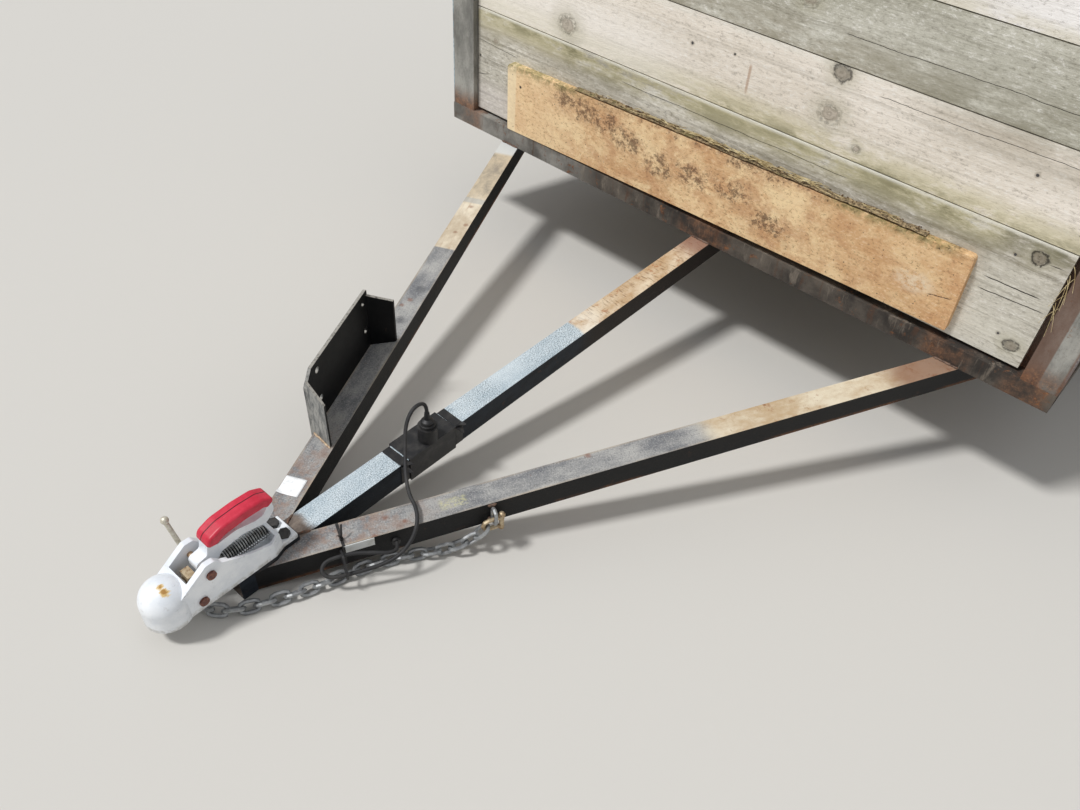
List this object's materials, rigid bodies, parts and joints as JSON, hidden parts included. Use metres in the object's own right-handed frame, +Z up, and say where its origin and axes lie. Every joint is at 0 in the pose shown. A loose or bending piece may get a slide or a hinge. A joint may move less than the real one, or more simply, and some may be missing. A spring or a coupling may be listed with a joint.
{
  "type": "utility trailer",
  "caption": "Single-axle utility trailer with tall timber walls on a steel frame, hinged tailgate, three-tube drawbar and lever coupling, parked nose down.",
  "frame": {"origin": "middle of the footprint, on the ground", "axes": "+Z up, +Y to the trailer's rear, +X to the trailer's right"},
  "size_m": [2.11, 3.9148, 1.4696],
  "materials": {
    "dark_grey_steel": "worn dark grey paint with rust",
    "blue_grey_steel": "worn light blue paint speckled white, rusty near the bed",
    "rusty_steel": "rusty brown grey paint",
    "weathered_timber": "sun-bleached rough sawn pine with green algae",
    "tan_timber": "newer orange pine, dirty",
    "floor_timber": "weathered plywood",
    "black_steel": "satin black paint",
    "white_casting": "white enamel, worn",
    "zinc_steel": "dull zinc",
    "rusty_pin": "rusty zinc",
    "red_grip": "crimson plastic",
    "spring_steel": "dark oiled steel",
    "galvanised": "galvanised, dirty",
    "tyre": "dusty black rubber",
    "wheel_paint": "silver paint",
    "black_plastic": "black plastic",
    "cable_rubber": "black sheath",
    "lamp_red": "red lens",
    "plate_white": "plain white, blank"
  },
  "bodies": {
    "trailer": {"axle_beam": "rusty_steel", "cable_grommet": "black_plastic", "chain_lug": "galvanised", "chain_shackle": "galvanised", "coupling_body": "white_casting", "coupling_bolts": "rusty_pin", "coupling_clamp_block": "rusty_pin", "coupling_grip": "red_grip", "coupling_lever": "white_casting", "coupling_lock_rod": "rusty_pin", "coupling_pins": "rusty_pin", "coupling_spring": "spring_steel", "drawbar_arm_left": "dark_grey_steel", "drawbar_arm_right": "dark_grey_steel", "drawbar_spine": "blue_grey_steel", "floor_crossmembers": "rusty_steel", "floor_sheet": "floor_timber", "front_board_1": "weathered_timber", "front_board_2": "weathered_timber", "front_board_3": "weathered_timber", "front_board_4": "weathered_timber", "front_crossmember": "rusty_steel", "front_posts": "rusty_steel", "gate_latches": "zinc_steel", "kick_plank": "tan_timber", "label_plate": "plate_white", "leaf_springs": "spring_steel", "left_boards": "weathered_timber", "mudguard_left": "dark_grey_steel", "mudguard_right": "dark_grey_steel", "nose_plate": "dark_grey_steel", "number_plate": "plate_white", "plug_holder": "black_plastic", "rear_crossmember": "rusty_steel", "rear_posts": "rusty_steel", "right_boards": "weathered_timber", "safety_chain": "galvanised", "side_bracket": "black_steel", "side_rails": "rusty_steel", "side_stakes": "rusty_steel", "spring_hangers": "rusty_steel", "tail_lamps": "lamp_red", "tailgate_hinges": "rusty_steel", "trailer_plug": "black_plastic", "wiring_cable": "cable_rubber"},
    "left_wheel": {"hub_left": "rusty_steel", "tyre_left": "tyre", "wheel_left": "wheel_paint", "wheel_nuts_left": "rusty_pin"},
    "right_wheel": {"hub_right": "rusty_steel", "tyre_right": "tyre", "wheel_nuts_right": "rusty_pin", "wheel_right": "wheel_paint"},
    "tailgate": {"tailgate_boards": "weathered_timber", "tailgate_frame": "rusty_steel"}
  },
  "joints": [
    {"name": "left_wheel_spin", "type": "hinge", "parent": "trailer", "child": "left_wheel", "pos_m": [-0.96, 0.86336, 0.325], "axis": [1, 0, 0], "continuous": true},
    {"name": "right_wheel_spin", "type": "hinge", "parent": "trailer", "child": "right_wheel", "pos_m": [0.96, 0.86336, 0.325], "axis": [1, 0, 0], "continuous": true},
    {"name": "tailgate_hinge", "type": "hinge", "parent": "trailer", "child": "tailgate", "pos_m": [0, 1.92023, 0.70083], "axis": [-1, 0, 0], "range_deg": [0, 90]}
  ]
}
